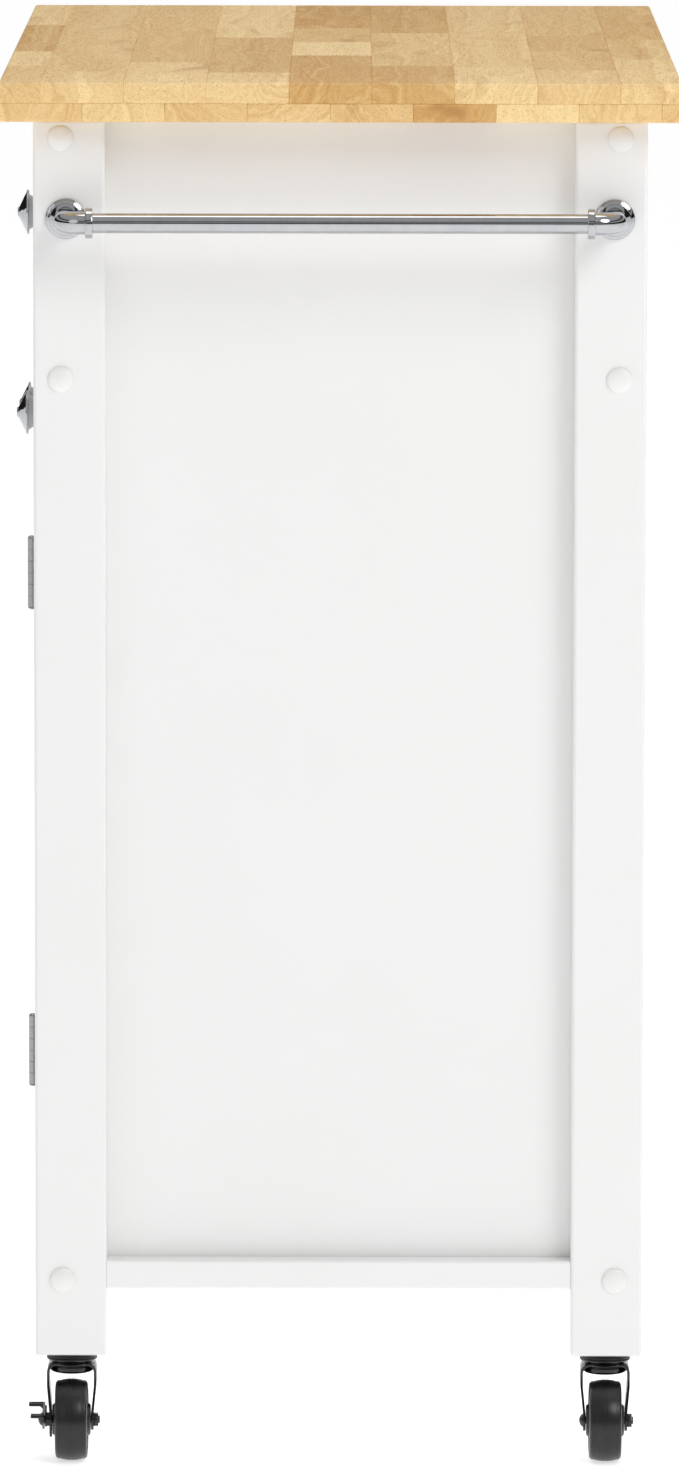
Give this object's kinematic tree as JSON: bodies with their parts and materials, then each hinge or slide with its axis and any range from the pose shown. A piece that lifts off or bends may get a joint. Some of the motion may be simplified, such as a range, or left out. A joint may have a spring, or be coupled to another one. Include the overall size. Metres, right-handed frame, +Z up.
{
  "type": "kitchen island cart",
  "caption": "Butcher-block kitchen cart with a drawer over two hinged doors, an inner shelf, an end towel bar and swivel casters with front brakes.",
  "frame": {"origin": "on the floor, under the middle of the whole cart's bounding box", "axes": "+Z up, X along the worktop with the towel bar at +X, the drawer and the doors face -Y"},
  "size_m": [0.7828, 0.435, 0.8965],
  "materials": {
    "butcher_block": "oiled rubberwood blocks, satin",
    "white_paint": "satin white paint on wood",
    "birch": "clear lacquered birch",
    "white_plastic": "moulded, soft gloss",
    "white_enamel": "white enamel on sheet steel",
    "chrome": "polished chrome plate",
    "steel": "satin nickel or zinc plate",
    "black_steel": "glossy black coat on pressed steel",
    "black_nylon": "moulded black nylon",
    "tread_rubber": "smooth grey-black rubber"
  },
  "bodies": {
    "cabinet": {"worktop": "butcher_block", "leg_front_left": "white_paint", "leg_front_right": "white_paint", "leg_rear_left": "white_paint", "leg_rear_right": "white_paint", "side_panel_left": "white_paint", "side_panel_right": "white_paint", "end_rails": "white_paint", "front_rails": "white_paint", "rear_rails": "white_paint", "back_panels": "white_paint", "bottom_board": "white_paint", "shelf": "white_paint", "shelf_pins": "steel", "frame_bolts": "steel", "barrel_nuts": "steel", "bolt_caps": "white_plastic", "rail_dowels": "birch", "worktop_screws": "steel", "cabinet_runners": "white_enamel", "hinge_frame_leaves": "steel", "hinge_pins": "steel", "door_catches": "white_plastic", "towel_bar": "chrome", "towel_bar_brackets": "chrome", "towel_bar_studs": "steel", "stem_inserts": "steel", "caster_stems": "black_steel"},
    "drawer": {"drawer_front": "white_paint", "drawer_sides": "birch", "drawer_back": "birch", "drawer_bottom": "birch", "drawer_runners": "white_enamel", "drawer_knob": "chrome"},
    "door_left": {"door_frame_left": "white_paint", "door_panel_left": "white_paint", "door_fittings_left": "steel", "door_knob_left": "chrome"},
    "door_right": {"door_frame_right": "white_paint", "door_panel_right": "white_paint", "door_fittings_right": "steel", "door_knob_right": "chrome"},
    "caster_front_left": {"fork_front_left": "black_steel", "axle_front_left": "black_steel"},
    "roller_front_left": {"wheel_front_left": "black_nylon", "tread_front_left": "tread_rubber"},
    "caster_front_right": {"fork_front_right": "black_steel", "axle_front_right": "black_steel"},
    "roller_front_right": {"wheel_front_right": "black_nylon", "tread_front_right": "tread_rubber"},
    "caster_rear_left": {"fork_rear_left": "black_steel", "axle_rear_left": "black_steel"},
    "roller_rear_left": {"wheel_rear_left": "black_nylon", "tread_rear_left": "tread_rubber"},
    "caster_rear_right": {"fork_rear_right": "black_steel", "axle_rear_right": "black_steel"},
    "roller_rear_right": {"wheel_rear_right": "black_nylon", "tread_rear_right": "tread_rubber"},
    "brake_left": {"brake_lever_left": "black_steel"},
    "brake_right": {"brake_lever_right": "black_steel"}
  },
  "joints": [
    {"name": "drawer_slide", "type": "slide", "parent": "cabinet", "child": "drawer", "axis": [0, -1, 0], "range_m": [0, 0.25]},
    {"name": "door_left_hinge", "type": "hinge", "parent": "cabinet", "child": "door_left", "pos_m": [-0.32238, -0.1987, 0.4165], "axis": [0, 0, -1], "range_deg": [0, 170]},
    {"name": "door_right_hinge", "type": "hinge", "parent": "cabinet", "child": "door_right", "pos_m": [0.29962, -0.1987, 0.4165], "axis": [0, 0, 1], "range_deg": [0, 170]},
    {"name": "swivel_front_left", "type": "hinge", "parent": "cabinet", "child": "caster_front_left", "pos_m": [-0.34637, -0.173, 0.062], "axis": [0, 0, 1], "continuous": true},
    {"name": "roll_front_left", "type": "hinge", "parent": "caster_front_left", "child": "roller_front_left", "pos_m": [-0.33437, -0.173, 0.0265], "axis": [0, 1, 0], "continuous": true},
    {"name": "swivel_front_right", "type": "hinge", "parent": "cabinet", "child": "caster_front_right", "pos_m": [0.32362, -0.173, 0.062], "axis": [0, 0, 1], "continuous": true},
    {"name": "roll_front_right", "type": "hinge", "parent": "caster_front_right", "child": "roller_front_right", "pos_m": [0.33563, -0.173, 0.0265], "axis": [0, 1, 0], "continuous": true},
    {"name": "swivel_rear_left", "type": "hinge", "parent": "cabinet", "child": "caster_rear_left", "pos_m": [-0.34637, 0.173, 0.062], "axis": [0, 0, 1], "continuous": true},
    {"name": "roll_rear_left", "type": "hinge", "parent": "caster_rear_left", "child": "roller_rear_left", "pos_m": [-0.33437, 0.173, 0.0265], "axis": [0, 1, 0], "continuous": true},
    {"name": "swivel_rear_right", "type": "hinge", "parent": "cabinet", "child": "caster_rear_right", "pos_m": [0.32362, 0.173, 0.062], "axis": [0, 0, 1], "continuous": true},
    {"name": "roll_rear_right", "type": "hinge", "parent": "caster_rear_right", "child": "roller_rear_right", "pos_m": [0.33563, 0.173, 0.0265], "axis": [0, 1, 0], "continuous": true},
    {"name": "brake_left_rock", "type": "hinge", "parent": "caster_front_left", "child": "brake_left", "pos_m": [-0.33437, -0.1912, 0.0265], "axis": [0, 1, 0], "range_deg": [0, 18]},
    {"name": "brake_right_rock", "type": "hinge", "parent": "caster_front_right", "child": "brake_right", "pos_m": [0.33563, -0.1912, 0.0265], "axis": [0, 1, 0], "range_deg": [0, 18]}
  ]
}
